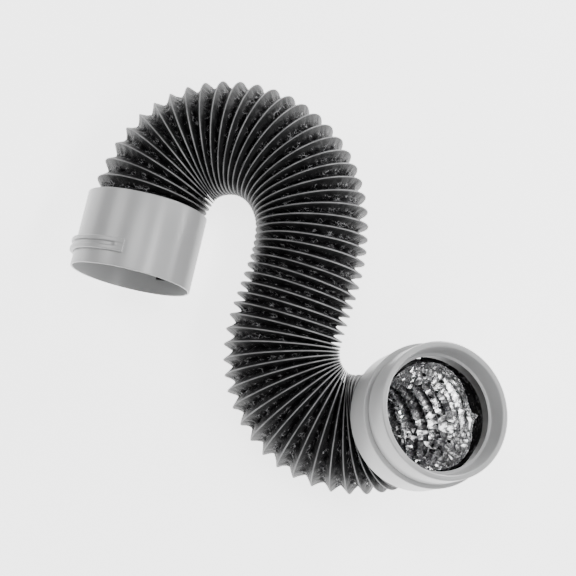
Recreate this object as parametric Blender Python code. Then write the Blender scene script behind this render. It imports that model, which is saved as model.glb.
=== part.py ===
"""Flexible dryer vent hose lying in an S on a level floor.

A black film jacket, pleated along a helix, runs through a flat S and curls up
at its far end. A foil liner runs inside it. A plain sleeve is fitted on the
near end and a stepped collar on the raised end.

Units are metres. +Z is up, the floor is z = 0, the origin is below the middle
of the object, and the near sleeve lies along Y.
"""

import math

import bmesh
import bpy
import numpy as np

# The bore that air passes, and the crests of the hose around it.
DUCT_RADIUS = 0.0508
HOSE_STEP = 0.0037
HOSE_RADIUS = DUCT_RADIUS + HOSE_STEP

# Route of the centre line: one row is a stretch of hose. Its length and its
# crest radius count in hose radii, so that a wider hose bends as wide a curve.
# length, turn in plan (degrees), lift (degrees), pleats in the stretch, and at
# its end the crest lean in plan, the crest tip upwards (degrees), crest radius.
ROUTE = [
    (0.817, -17.3, -1.3, 3.78, -5.6, 7.1, 1.019),
    (0.917, -42.5, -0.1, 4.85, -6.0, 15.6, 1.014),
    (0.917, -36.6, 0.4, 5.05, -8.3, 13.1, 1.003),
    (0.917, -37.0, 0.7, 5.03, -2.6, 7.5, 1.003),
    (0.917, -30.2, 0.3, 5.49, -3.9, 0.3, 0.995),
    (0.917, -16.7, 0.3, 5.48, -2.6, -3.7, 1.002),
    (0.917, 0.5, 0.2, 5.34, 0.3, -6.5, 1.009),
    (0.917, 34.6, 0.2, 5.64, 1.7, -4.0, 1.016),
    (0.917, 39.4, 0.0, 5.19, 4.3, -1.0, 1.030),
    (0.493, 22.7, 1.1, 2.62, 5.0, 0.7, 1.032),
    (0.493, 20.1, 16.2, 2.85, 5.5, -0.6, 1.032),
    (0.499, 5.0, 26.3, 3.27, 3.6, -2.8, 1.003),
    (0.495, -5.6, 22.8, 3.41, 0.0, 0.0, 1.000),
]
START_HEADING = 90.0
START_LEAN = 5.6
START_SWELL = 1.0
START_PLEAT = -1.01
ROUTE_STEP = 0.0010
ROUTE_BLEND = 0.55

# Pleated jacket.
PLEAT_FLANK = 0.0125
PLEAT_SPARE = 0.05
JACKET_WALL = 0.0020
JACKET_COLUMNS = 20
MOUTH_PLEAT = 0.42

# Foil liner.
LINER_WALL = 0.0010
LINER_GAP = 0.0010
LINER_COLUMNS = 16
LINER_ROW_STEP = 0.0135
LINER_RIBS = 8
LINER_RIB_PITCH = 0.0120
LINER_RIB_RISE = 0.0030
LINER_MOUTH_STEP = 0.0026

# Straight coupling on the near end.
SLEEVE_STEP = 0.0035
SLEEVE_RADIUS = HOSE_RADIUS + SLEEVE_STEP
SLEEVE_LENGTH = 0.0735
SLEEVE_WALL = 0.0020
SLEEVE_SOCKET_DEPTH = 0.0280
SLEEVE_STOP_RISE = 0.0055
SLEEVE_STOP_LENGTH = 0.0030
RAIL_RISE = 0.0043
RAIL_WIDTH = 0.0125
RAIL_BEAD = 0.0038
RAIL_GROOVE = 0.0022
RAIL_FROM_MOUTH = 0.0135
RAIL_START = 12.0
RAIL_END = 136.0
RAIL_PAD = 6.0
RAIL_STEPS = 20

# Stepped collar on the raised end: a wider back, then the front with its bowl.
COLLAR_LENGTH = 0.0612
COLLAR_FRONT_STEP = 0.0076
COLLAR_BACK_STEP = 0.0101
COLLAR_BACK_LENGTH = 0.0321
COLLAR_BACK_WALL = 0.0026
COLLAR_RECESS_DEPTH = 0.0080
COLLAR_BEAD_RISE = 0.0010
COLLAR_BEAD_LENGTH = 0.0045
COLLAR_GROOVE_DEPTH = 0.0008
COLLAR_GROOVE_WIDTH = 0.0012
COLLAR_LIP = 0.0050
COLLAR_LIP_ROUND = 0.0018
COLLAR_BOWL_DEPTH = 0.0172
COLLAR_LEDGE = 0.0035
COLLAR_STOP_LENGTH = 0.0030
COLLAR_SEAT = COLLAR_LENGTH - COLLAR_BOWL_DEPTH - COLLAR_STOP_LENGTH

# Fits.
SOCKET_GAP = 0.0004
END_GAP = 0.0004
EDGE = 0.0006
RING_SEGMENTS = 48
SMOOTH_ANGLE = math.radians(35.0)


def clear_scene():
    """Remove every object that is in the file."""
    for obj in list(bpy.data.objects):
        bpy.data.objects.remove(obj, do_unlink=True)


def make_material(name, color, metallic, roughness):
    """Make a plain Principled material."""
    material = bpy.data.materials.new(name)
    material.use_nodes = True
    shader = material.node_tree.nodes["Principled BSDF"]
    shader.inputs["Base Color"].default_value = (*color, 1.0)
    shader.inputs["Metallic"].default_value = metallic
    shader.inputs["Roughness"].default_value = roughness
    material.diffuse_color = (*color, 1.0)
    return material


class Route:
    """Centre line of the hose, with the crest plane and pleat count at each length."""

    def __init__(self):
        lengths = self.column(0) * HOSE_RADIUS
        self.length = float(lengths.sum())
        count = int(round(self.length / ROUTE_STEP)) + 1
        self.s = np.linspace(0.0, self.length, count)
        self.ends = np.concatenate([[0.0], np.cumsum(lengths)])
        self.width = int(round(ROUTE_BLEND * HOSE_RADIUS / ROUTE_STEP)) | 1
        row = np.clip(np.searchsorted(self.ends, self.s, side="right") - 1, 0, len(ROUTE) - 1)
        turn = np.radians(self.column(1)) / lengths
        lift = np.radians(self.column(2)) / lengths
        heading = math.radians(START_HEADING - START_LEAN) + self.integral(self.blend(turn[row]))
        rise = self.integral(self.blend(lift[row]))
        pleats = self.integral(self.blend((self.column(3) / lengths)[row]))
        self.pleats = START_PLEAT + pleats
        plane = heading + np.radians(self.eased(START_LEAN, 4))
        slope = rise + np.radians(self.eased(0.0, 5))
        self.crest = self.eased(START_SWELL, 6) * HOSE_RADIUS
        tangent = self.direction(heading, rise)
        self.point = np.stack([self.integral(tangent[:, k]) for k in range(3)], axis=1)
        self.point[:, 2] += SLEEVE_RADIUS
        self.normal = self.direction(plane, slope)
        flat = np.zeros(count)
        self.side = np.stack([-np.sin(plane), np.cos(plane), flat], axis=1)
        self.over = np.cross(self.normal, self.side)

    @staticmethod
    def column(index):
        """One column of the route's rows."""
        return np.array([row[index] for row in ROUTE])

    def blend(self, values):
        """Smooth values along the hose with a rounded window, keeping the ends."""
        window = np.hanning(self.width + 2)[1:-1]
        window /= window.sum()
        padded = np.pad(values, self.width // 2, mode="reflect", reflect_type="odd")
        return np.convolve(padded, window, "valid")

    def eased(self, first, index):
        """A column that is stated at the ends of the rows, smoothed along the hose."""
        knots = np.concatenate([[first], self.column(index)])
        return self.blend(np.interp(self.s, self.ends, knots))

    def integral(self, values):
        """Integrate values along the hose."""
        step = self.s[1] - self.s[0]
        return np.concatenate([[0.0], np.cumsum((values[1:] + values[:-1]) * 0.5 * step)])

    @staticmethod
    def direction(heading, rise):
        """Unit vectors for headings and rises in radians."""
        flat = np.cos(rise)
        return np.stack([flat * np.cos(heading), flat * np.sin(heading), np.sin(rise)], axis=1)

    def sample(self, values, s):
        """Value at length s; beyond either end the end value is kept."""
        return np.array([np.interp(s, self.s, values[:, k]) for k in range(3)])

    def centre(self, s):
        """Centre of the hose at length s, going straight on past its ends."""
        over = max(s - self.length, 0.0) + min(s, 0.0)
        return self.sample(self.point, s) + self.sample(self.normal, s) * over

    def place(self, s, angle, radius):
        """Point at a length, an angle around the hose and a radius."""
        side = self.sample(self.side, s)
        over = self.sample(self.over, s)
        return self.centre(s) + radius * (math.cos(angle) * side + math.sin(angle) * over)

    def crest_radius(self, s):
        """Radius of the crests at length s."""
        return float(np.interp(s, self.s, self.crest))

    def pitch(self, s):
        """Length of hose from crest to crest at length s."""
        rate = np.gradient(self.pleats, self.s)
        return 1.0 / float(np.interp(s, self.s, rate))

    def pleat_at(self, s):
        """Pleat count at length s, counted on past both ends."""
        over = max(s - self.length, 0.0) + min(s, 0.0)
        return float(np.interp(s, self.s, self.pleats)) + over / self.pitch(s)

    def length_at(self, pleat):
        """Length along the hose at a pleat count."""
        first, last = self.pleats[0], self.pleats[-1]
        before = min(pleat - first, 0.0) * self.pitch(0.0)
        after = max(pleat - last, 0.0) * self.pitch(self.length)
        return float(np.interp(pleat, self.pleats, self.s)) + before + after

    def mouth_share(self, s):
        """Share of the full pleat depth: it opens out inside the collar."""
        inside = min(max((s - self.length) / COLLAR_SEAT, 0.0), 1.0)
        return 1.0 - (1.0 - MOUTH_PLEAT) * inside

    def pleat_depth(self, s, angle):
        """Depth of the pleat, from how far the crests stand apart there."""
        radius = self.crest_radius(s)
        half = self.pitch(s) / 2.0
        gap = self.place(s + half, angle, radius) - self.place(s - half, angle, radius)
        apart = min(float(np.linalg.norm(gap)) / 2.0, PLEAT_FLANK * 0.8)
        return math.sqrt(PLEAT_FLANK ** 2 - apart ** 2) * self.mouth_share(s)

    def bore(self, s):
        """Outer radius that the liner can take inside the deepest pleats at s."""
        deep = PLEAT_FLANK * self.mouth_share(s)
        return self.crest_radius(s) - deep - JACKET_WALL - LINER_GAP


def new_object(name, points, faces, material):
    """Make a mesh object from points and faces, with outward faces."""
    mesh = bpy.data.meshes.new(name)
    mesh.from_pydata([tuple(float(c) for c in point) for point in points], [], faces)
    mesh.materials.append(material)
    obj = bpy.data.objects.new(name, mesh)
    bpy.context.scene.collection.objects.link(obj)
    work = bmesh.new()
    work.from_mesh(mesh)
    bmesh.ops.recalc_face_normals(work, faces=work.faces)
    work.to_mesh(mesh)
    work.free()
    for polygon in mesh.polygons:
        polygon.use_smooth = True
    mesh.set_sharp_from_angle(angle=SMOOTH_ANGLE)
    return obj


def helix_skin(route, start, end, inset, points, faces):
    """Add one pleated skin; return the first vertex of each end ring.

    The crest crosses the top of the hose at whole pleat counts and winds
    forward clockwise, seen along the hose.
    """
    cols = JACKET_COLUMNS
    first = math.ceil(route.pleat_at(start) + PLEAT_SPARE - 0.25) + 0.25
    turns = int(route.pleat_at(end) - PLEAT_SPARE - first - 1.0)
    last = 2 * turns
    base = len(points)
    for col in range(cols):
        angle = 2.0 * math.pi * col / cols
        points.append(route.place(start, angle, route.crest_radius(start) - inset))
        for row in range(last + 1):
            s = route.length_at(first + row / 2.0 + col / cols)
            radius = route.crest_radius(s) - inset
            if row % 2 == 0:
                radius -= route.pleat_depth(s, angle)
            points.append(route.place(s, angle, radius))
        points.append(route.place(end, angle, route.crest_radius(end) - inset))
    height = last + 3

    def vertex(col, row):
        return base + col * height + row

    for col in range(cols - 1):
        for row in range(height - 1):
            a, b = vertex(col, row), vertex(col + 1, row)
            c, d = vertex(col + 1, row + 1), vertex(col, row + 1)
            faces.append((a, b, c, d))
    left, right = cols - 1, 0
    hub = vertex(left, 1)
    faces.append((hub, vertex(left, 0), vertex(right, 0)))
    for row in range(3):
        faces.append((hub, vertex(right, row), vertex(right, row + 1)))
    for row in range(1, last):
        a, b = vertex(left, row), vertex(right, row + 2)
        c, d = vertex(right, row + 3), vertex(left, row + 1)
        if row < last - 1:
            faces.append((a, b, c, d))
    hub = vertex(right, last + 1)
    for row in (last - 1, last, last + 1):
        faces.append((hub, vertex(left, row), vertex(left, row + 1)))
    faces.append((hub, vertex(left, last + 2), vertex(right, last + 2)))
    return [vertex(col, 0) for col in range(cols)], [vertex(col, last + 2) for col in range(cols)]


def bridge(first, second, faces):
    """Join two rings of vertices with quads."""
    count = len(first)
    for k in range(count):
        nxt = (k + 1) % count
        faces.append((first[k], first[nxt], second[nxt], second[k]))


def build_jacket(route, material):
    """Pleated film jacket, with its wire bonded in at every crest."""
    points, faces = [], []
    start = -(SLEEVE_SOCKET_DEPTH - END_GAP)
    end = route.length + COLLAR_SEAT - END_GAP
    outer_a, outer_b = helix_skin(route, start, end, 0.0, points, faces)
    inner_a, inner_b = helix_skin(route, start, end, JACKET_WALL, points, faces)
    bridge(outer_a, inner_a, faces)
    bridge(outer_b, inner_b, faces)
    return new_object("hose_jacket", points, faces, material)


def liner_rows(route):
    """Length and radius of each ring of the liner."""
    start = -(SLEEVE_SOCKET_DEPTH - END_GAP)
    throat = route.length + COLLAR_SEAT
    end = throat + COLLAR_STOP_LENGTH
    half = LINER_RIB_PITCH / 2.0
    plain = end - LINER_RIBS * LINER_RIB_PITCH
    count = int(math.ceil((plain - start) / LINER_ROW_STEP))
    rows = []
    for k in range(count + 1):
        s = start + (plain - start) * k / count
        rows.append((s, route.bore(s)))
    for k in range(1, 2 * LINER_RIBS + 1):
        s = plain + half * k
        radius = route.bore(s) - LINER_RIB_RISE * (k % 2)
        if s > throat:
            mouth = DUCT_RADIUS - LINER_MOUTH_STEP
            radius += (mouth - radius) * (s - throat) / (end - throat)
        rows.append((s, radius))
    return rows


def build_liner(route, material):
    """Thin foil duct inside the jacket, ribbed where the mouth shows it."""
    points, faces = [], []
    rings = {0: [], 1: []}
    for skin in (0, 1):
        for s, radius in liner_rows(route):
            ring = []
            for col in range(LINER_COLUMNS):
                angle = 2.0 * math.pi * col / LINER_COLUMNS
                ring.append(len(points))
                points.append(route.place(s, angle, radius - skin * LINER_WALL))
            rings[skin].append(ring)
        for first, second in zip(rings[skin], rings[skin][1:]):
            bridge(first, second, faces)
    bridge(rings[0][0], rings[1][0], faces)
    bridge(rings[0][-1], rings[1][-1], faces)
    return new_object("foil_liner", points, faces, material)


def revolve(route, s, outward, profile, name, material):
    """Turn a closed profile of (radius, offset) about the hose axis at s."""
    points, faces, rings = [], [], []
    centre = route.centre(s)
    axis = route.sample(route.normal, s) * outward
    side = route.sample(route.side, s)
    over = route.sample(route.over, s)
    for radius, offset in profile:
        ring = []
        for k in range(RING_SEGMENTS):
            angle = 2.0 * math.pi * k / RING_SEGMENTS
            ring.append(len(points))
            spoke = math.cos(angle) * side + math.sin(angle) * over
            points.append(centre + axis * offset + spoke * radius)
        rings.append(ring)
    for first, second in zip(rings, rings[1:] + rings[:1]):
        bridge(first, second, faces)
    return new_object(name, points, faces, material)


def rail_section(groove):
    """Cross-section of the rail as (radius, distance from its lower edge)."""
    foot = SLEEVE_RADIUS - SLEEVE_WALL / 2.0
    top = SLEEVE_RADIUS + RAIL_RISE
    low = top - groove
    return [
        (foot, 0.0), (top - EDGE, 0.0), (top, EDGE), (top, RAIL_BEAD),
        (low, RAIL_BEAD + EDGE), (low, RAIL_WIDTH - RAIL_BEAD - EDGE),
        (top, RAIL_WIDTH - RAIL_BEAD), (top, RAIL_WIDTH - EDGE),
        (top - EDGE, RAIL_WIDTH), (foot, RAIL_WIDTH),
    ]


def build_rail(route, material):
    """Moulded rail around part of the sleeve: two beads with a groove."""
    points, faces, rings = [], [], []
    centre = route.centre(0.0)
    axis = -route.sample(route.normal, 0.0)
    side = route.sample(route.side, 0.0)
    base = SLEEVE_LENGTH - RAIL_FROM_MOUTH - RAIL_WIDTH
    for k in range(RAIL_STEPS + 1):
        turn = RAIL_START + (RAIL_END - RAIL_START) * k / RAIL_STEPS
        fade = min(max((turn - RAIL_START - RAIL_PAD) / RAIL_PAD, 0.0), 1.0)
        angle = math.radians(turn)
        spoke = np.array([0.0, 0.0, 1.0]) * math.cos(angle) + side * math.sin(angle)
        ring = []
        for radius, offset in rail_section(0.0004 + (RAIL_GROOVE - 0.0004) * fade):
            ring.append(len(points))
            points.append(centre + axis * (base + offset) + spoke * radius)
        rings.append(ring)
    for first, second in zip(rings, rings[1:]):
        bridge(first, second, faces)
    faces.append(tuple(rings[0]))
    faces.append(tuple(rings[-1]))
    return new_object("rail_tool", points, faces, material)


def join_solids(target, tool):
    """Unite a second solid with the first and drop the second."""
    modifier = target.modifiers.new("join", "BOOLEAN")
    modifier.operation = "UNION"
    modifier.solver = "EXACT"
    modifier.object = tool
    graph = bpy.context.evaluated_depsgraph_get()
    mesh = bpy.data.meshes.new_from_object(target.evaluated_get(graph))
    target.modifiers.remove(modifier)
    target.data = mesh
    bpy.data.objects.remove(tool, do_unlink=True)
    mesh.set_sharp_from_angle(angle=SMOOTH_ANGLE)


def build_sleeve(route, material):
    """Straight coupling: socket for the hose, stop ring, open mouth, rail."""
    socket = route.crest_radius(0.0) + SOCKET_GAP
    bore = SLEEVE_RADIUS - SLEEVE_WALL
    ring = HOSE_RADIUS - SLEEVE_STOP_RISE
    edge = EDGE
    stop = SLEEVE_SOCKET_DEPTH
    back = stop + SLEEVE_STOP_LENGTH
    profile = [
        (bore, 0.0), (SLEEVE_RADIUS - edge, 0.0), (SLEEVE_RADIUS, edge),
        (SLEEVE_RADIUS, SLEEVE_LENGTH - edge), (SLEEVE_RADIUS - edge, SLEEVE_LENGTH),
        (bore, SLEEVE_LENGTH), (bore, back + SLEEVE_WALL), (ring, back), (ring, stop),
        (socket, stop), (socket, bore - socket),
    ]
    sleeve = revolve(route, 0.0, -1.0, profile, "straight_coupling", material)
    join_solids(sleeve, build_rail(route, material))
    return sleeve


def build_collar(route, material):
    """Stepped collar: wide back with a bead, narrower front, lip, bowl, stop."""
    socket = route.crest_radius(route.length) + SOCKET_GAP
    rim = HOSE_RADIUS + COLLAR_FRONT_STEP
    back = HOSE_RADIUS + COLLAR_BACK_STEP
    recess = back - COLLAR_BACK_WALL
    bead = back + COLLAR_BEAD_RISE
    groove = rim - COLLAR_GROOVE_DEPTH
    front = COLLAR_LENGTH
    bowl = front - COLLAR_BOWL_DEPTH
    shoulder = COLLAR_BACK_LENGTH
    neck = shoulder + COLLAR_GROOVE_WIDTH
    lip = COLLAR_LIP_ROUND
    profile = [
        (recess, 0.0), (back - EDGE, 0.0), (back, EDGE),
        (back, shoulder - COLLAR_BEAD_LENGTH),
        (bead, shoulder - COLLAR_BEAD_LENGTH + COLLAR_BEAD_RISE),
        (bead, shoulder - EDGE), (bead - EDGE, shoulder), (groove, shoulder),
        (groove, neck), (rim, neck + COLLAR_GROOVE_DEPTH), (rim, front - lip),
        (rim - lip * 0.3, front - lip * 0.3), (rim - lip, front),
        (rim - COLLAR_LIP + lip, front), (rim - COLLAR_LIP, front - lip),
        (DUCT_RADIUS + COLLAR_LEDGE, bowl), (DUCT_RADIUS, bowl), (DUCT_RADIUS, COLLAR_SEAT),
        (socket, COLLAR_SEAT), (socket, COLLAR_RECESS_DEPTH), (recess, COLLAR_RECESS_DEPTH),
    ]
    return revolve(route, route.length, 1.0, profile, "collar_coupling", material)


def rest_on_floor(objects):
    """Shift the whole object so that its base centre is the origin."""
    low = np.full(3, np.inf)
    high = np.full(3, -np.inf)
    for obj in objects:
        points = np.array([vertex.co[:] for vertex in obj.data.vertices])
        low = np.minimum(low, points.min(axis=0))
        high = np.maximum(high, points.max(axis=0))
    shift = np.array([(low[0] + high[0]) / 2.0, (low[1] + high[1]) / 2.0, low[2]])
    for obj in objects:
        for vertex in obj.data.vertices:
            vertex.co = [float(c) for c in np.array(vertex.co[:]) - shift]


def main():
    """Build the four pieces and set them on the floor."""
    clear_scene()
    film = make_material("black_film", (0.022, 0.022, 0.024), 0.0, 0.38)
    foil = make_material("aluminium_foil", (0.78, 0.78, 0.79), 1.0, 0.28)
    plastic = make_material("grey_plastic", (0.47, 0.475, 0.48), 0.0, 0.42)
    route = Route()
    pieces = [
        build_jacket(route, film),
        build_liner(route, foil),
        build_sleeve(route, plastic),
        build_collar(route, plastic),
    ]
    rest_on_floor(pieces)


main()
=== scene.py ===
"""Dryer vent hose: the looks of a pleated film duct with two moulded couplings.

The black film jacket, its foil lining and the two grey couplings are built as
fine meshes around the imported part. Units are metres, +Z is up and the floor
that the hose lies on is z = 0.
"""

import logging
import math
from dataclasses import dataclass, field
from enum import Enum
from typing import Mapping, Optional, Sequence, Union

import bpy
import numpy as np
from mathutils import Matrix, Vector


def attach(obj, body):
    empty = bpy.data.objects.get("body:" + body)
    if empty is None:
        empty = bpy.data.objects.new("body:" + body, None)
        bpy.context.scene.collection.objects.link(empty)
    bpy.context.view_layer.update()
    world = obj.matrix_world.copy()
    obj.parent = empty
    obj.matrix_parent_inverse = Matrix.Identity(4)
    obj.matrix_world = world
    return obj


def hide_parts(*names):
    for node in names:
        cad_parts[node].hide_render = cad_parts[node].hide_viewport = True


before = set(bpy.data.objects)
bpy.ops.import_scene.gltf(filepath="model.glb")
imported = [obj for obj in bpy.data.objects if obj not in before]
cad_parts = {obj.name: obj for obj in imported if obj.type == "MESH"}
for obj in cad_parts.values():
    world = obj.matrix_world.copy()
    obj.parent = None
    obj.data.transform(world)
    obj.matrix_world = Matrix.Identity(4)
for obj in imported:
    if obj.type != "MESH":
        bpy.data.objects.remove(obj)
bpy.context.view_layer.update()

LOG = logging.getLogger("vent_hose")
BODY = "root"
TAU = 2.0 * math.pi


class Slot(Enum):
    """Material slots of the part."""

    FILM = "black_film"
    FOIL = "aluminium_foil"
    PLASTIC = "grey_plastic"


class Facing(Enum):
    """How the faces of a mesh are shaded."""

    SMOOTH = True
    CREASED = False


# Shading


Value = Union["Sock", float]


@dataclass(frozen=True)
class Sock:
    """An output socket; arithmetic on it adds Math nodes."""

    tree: "ShaderTree"
    socket: bpy.types.NodeSocket

    def math(self, operation: str, first: Value, second: Value = 0.0) -> "Sock":
        """Add one Math node.

        Args:
            operation: name of the operation.
            first: first input.
            second: second input.

        Returns:
            The node's value.
        """
        return self.tree.out("ShaderNodeMath", {"operation": operation}, {0: first, 1: second})

    def __add__(self, other: Value) -> "Sock":
        """Sum with a value."""
        return self.math("ADD", self, other)

    __radd__ = __add__

    def __sub__(self, other: Value) -> "Sock":
        """Difference from a value."""
        return self.math("SUBTRACT", self, other)

    def __rsub__(self, other: Value) -> "Sock":
        """Value less this socket."""
        return self.math("SUBTRACT", other, self)

    def __mul__(self, other: Value) -> "Sock":
        """Product with a value."""
        return self.math("MULTIPLY", self, other)

    __rmul__ = __mul__

    def between(self, low: float, high: float) -> "Sock":
        """Rise from 0 at one value to 1 at another, held beyond them.

        Args:
            low: value that gives 0.
            high: value that gives 1.

        Returns:
            The held ramp.
        """
        settings = {"interpolation_type": "SMOOTHSTEP"}
        return self.tree.out("ShaderNodeMapRange", settings, {0: self, 1: low, 2: high})


Feed = Union[Sock, float, Sequence[float]]


class ShaderTree:
    """Node tree of one material."""

    def __init__(self, name: str) -> None:
        """Start a material with its Principled shader.

        Args:
            name: name of the material.
        """
        self.material = bpy.data.materials.new(name)
        self.material.use_nodes = True
        self.shader = self.material.node_tree.nodes["Principled BSDF"]

    def feed(self, socket: bpy.types.NodeSocket, value: Feed) -> None:
        """Link or set an input socket.

        Args:
            socket: input to fill.
            value: a socket to link, a number, or a row of numbers.
        """
        if isinstance(value, Sock):
            self.material.node_tree.links.new(value.socket, socket)
        elif isinstance(value, (int, float)):
            socket.default_value = value
        else:
            row = tuple(value)
            socket.default_value = row + (1.0,) * (len(socket.default_value) - len(row))

    def add(
        self,
        kind: str,
        settings: Optional[Mapping[str, object]] = None,
        inputs: Optional[Mapping[Union[int, str], Feed]] = None,
    ) -> bpy.types.Node:
        """Add a node, set it up, then fill its inputs.

        Args:
            kind: type of the node.
            settings: its properties, set first.
            inputs: values or links of its inputs, by name or number.

        Returns:
            The node.
        """
        node = self.material.node_tree.nodes.new(kind)
        for key, value in (settings or {}).items():
            setattr(node, key, value)
        for key, value in (inputs or {}).items():
            self.feed(node.inputs[key], value)
        return node

    def out(
        self,
        kind: str,
        settings: Optional[Mapping[str, object]] = None,
        inputs: Optional[Mapping[Union[int, str], Feed]] = None,
        output: Union[int, str] = 0,
    ) -> Sock:
        """Add a node and return one of its outputs.

        Args:
            kind: type of the node.
            settings: its properties.
            inputs: values or links of its inputs.
            output: name or number of the output.

        Returns:
            The output socket.
        """
        return Sock(self, self.add(kind, settings, inputs).outputs[output])

    def place(self) -> Sock:
        """Point on the object, in metres."""
        return self.out("ShaderNodeTexCoord", output="Object")

    def unrolled(self, stretch: float) -> Sock:
        """Point on a tube laid out straight.

        Args:
            stretch: how many times longer patterns are around the tube than along it.

        Returns:
            The point, from the numbers stored on the tube's vertices.
        """
        inputs = {0: self.vertex("along") * stretch, 1: self.vertex("side"), 2: self.vertex("over")}
        return self.out("ShaderNodeCombineXYZ", {}, inputs)

    def noise(
        self, scale: float, detail: float = 3.0, rough: float = 0.55, place: Optional[Sock] = None
    ) -> Sock:
        """Noise over the object.

        Args:
            scale: cells per metre.
            detail: number of finer layers.
            rough: strength of the finer layers.
            place: point that it is read at, the object's own by default.

        Returns:
            The noise, about 0.5.
        """
        point = place or self.place()
        inputs = {"Vector": point, "Scale": scale, "Detail": detail, "Roughness": rough}
        return self.out("ShaderNodeTexNoise", {}, inputs)

    def cells(self, scale: float, feature: str = "F1", place: Optional[Sock] = None) -> Sock:
        """Distance pattern of irregular cells.

        Args:
            scale: cells per metre.
            feature: kind of distance.
            place: point that it is read at, the object's own by default.

        Returns:
            The distance.
        """
        inputs = {"Vector": place or self.place(), "Scale": scale}
        return self.out("ShaderNodeTexVoronoi", {"feature": feature}, inputs)

    def vertex(self, name: str) -> Sock:
        """Number stored on the mesh's vertices."""
        return self.out("ShaderNodeAttribute", {"attribute_name": name}, output="Fac")

    def blend(self, mask: Value, low: Feed, high: Feed) -> Sock:
        """Mix two colours.

        Args:
            mask: 0 gives the first colour and 1 the second.
            low: first colour.
            high: second colour.

        Returns:
            The mixed colour.
        """
        return self.out("ShaderNodeMix", {"data_type": "RGBA"}, {0: mask, 6: low, 7: high}, 2)

    def bump(
        self, height: Sock, strength: float, reach: float, under: Optional[Sock] = None
    ) -> Sock:
        """Turn a height into a normal.

        Args:
            height: pattern, about 0 to 1.
            strength: how much of it shows.
            reach: height in metres.
            under: normal that it is laid over.

        Returns:
            The bumped normal.
        """
        inputs: dict[Union[int, str], Feed] = {"Height": height, "Strength": strength}
        inputs["Distance"] = reach
        if under is not None:
            inputs["Normal"] = under
        return self.out("ShaderNodeBump", {}, inputs)

    def surface(self, **inputs: Feed) -> bpy.types.Material:
        """Fill the Principled shader, and return the material.

        Args:
            **inputs: its inputs by name, with _ for a space.

        Returns:
            The finished material.
        """
        for key, value in inputs.items():
            self.feed(self.shader.inputs[key.replace("_", " ")], value)
        return self.material


@dataclass(frozen=True)
class FilmFinish:
    """Black film: glossy, crinkled in the pleats, smoother near the crests; its colour holds
    painted sheen on the flanks and painted glints in the valleys.
    """

    dark: Sequence[float] = (0.003, 0.003, 0.0035)
    painted_flank_sheen: Sequence[float] = (0.018, 0.018, 0.0185)
    painted_glint_tone: Sequence[float] = (0.42, 0.42, 0.43)
    crinkle_scale: float = 290.0
    grain_scale: float = 1700.0
    stretch: float = 2.3
    sheen: float = 0.19

    def build(self) -> bpy.types.Material:
        """Make the material.

        Returns:
            The finished material.
        """
        tree = ShaderTree("black_film_crinkled")
        fold = tree.vertex("fold")
        skin = tree.unrolled(self.stretch)
        cloud = tree.noise(95.0, 4.0)
        crinkle = tree.noise(self.crinkle_scale, 5.0, 0.62, skin)
        edges = tree.cells(self.crinkle_scale * 0.9, "DISTANCE_TO_EDGE", skin)
        gate = tree.noise(150.0, 3.0).between(0.50, 0.62) * fold.between(0.35, 0.70)
        # Painted glints: thin pale lines along the crinkle cells' edges, in patches in the valleys,
        # lighten the colour; the same lines are also bumped as creases.
        painted_glint_creases = (1.0 - edges.between(0.02, 0.11)) * gate
        # Painted sheen: the flanks near the crests are lightened to a paler tone, fading out into
        # the darker valleys.
        face = (0.4 + 0.6 * cloud.between(0.35, 0.7)) * (1.0 - fold.between(0.35, 0.8))
        colour = tree.blend(painted_glint_creases, tree.blend(face, self.dark, self.painted_flank_sheen), self.painted_glint_tone)
        glint = tree.noise(self.grain_scale * 0.5, 2.0, 0.5, skin).between(0.56, 0.68)
        rough = 0.36 + 0.12 * cloud - 0.20 * glint * fold.between(0.25, 0.6)
        height = crinkle * (0.25 + 0.75 * fold.between(0.2, 0.7)) + 0.5 * painted_glint_creases
        coarse = tree.bump(height, 1.0, 0.0026)
        fine = tree.bump(tree.noise(self.grain_scale, 2.0), 0.30, 0.0003, coarse)
        return tree.surface(
            Base_Color=colour, Roughness=rough, Normal=fine, Specular_IOR_Level=self.sheen
        )


@dataclass(frozen=True)
class CrestFinish:
    """Film drawn tight over the wire, which shows as a pale line."""

    dull_tone_and_groove_shade: Sequence[float] = (0.10, 0.10, 0.103)
    bright: Sequence[float] = (0.19, 0.19, 0.193)

    def build(self) -> bpy.types.Material:
        """Make the material.

        Returns:
            The finished material.
        """
        tree = ShaderTree("crest_line")
        patch = tree.noise(60.0, 3.0)
        grain = tree.noise(900.0, 3.0)
        colour = tree.blend(patch.between(0.3, 0.7), self.dull_tone_and_groove_shade, self.bright)
        rough = 0.38 + 0.2 * grain
        normal = tree.bump(grain, 0.25, 0.0003)
        return tree.surface(Base_Color=colour, Roughness=rough, Normal=normal)


@dataclass(frozen=True)
class FoilFinish:
    """Crumpled aluminium foil, bright on its facets, with painted shade darkening its colour in the
    grooves of its pleats.
    """

    bright: Sequence[float] = (0.93, 0.93, 0.94)
    dull_tone_and_groove_shade: Sequence[float] = (0.30, 0.30, 0.305)
    crinkle_scale: float = 330.0

    def build(self) -> bpy.types.Material:
        """Make the material.

        Returns:
            The finished material.
        """
        tree = ShaderTree("foil_crumpled")
        cloud = tree.noise(140.0, 4.0)
        crinkle = tree.noise(self.crinkle_scale, 4.0, 0.6)
        facets = tree.cells(self.crinkle_scale * 0.6)
        # Painted shade: the colour falls to the darker tone where the foil lies in the grooves
        # under the film's crests, and stays bright on the ridges and at the torn rim.
        ridge = tree.vertex("ridge").between(0.15, 0.65)
        colour = tree.blend(ridge * (0.6 + 0.4 * cloud.between(0.3, 0.7)), self.dull_tone_and_groove_shade, self.bright)
        rough = 0.17 + 0.18 * crinkle
        coarse = tree.bump(facets, 0.30, 0.0010)
        fine = tree.bump(crinkle, 0.25, 0.0005, coarse)
        return tree.surface(Base_Color=colour, Roughness=rough, Metallic=1.0, Normal=fine)


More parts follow.
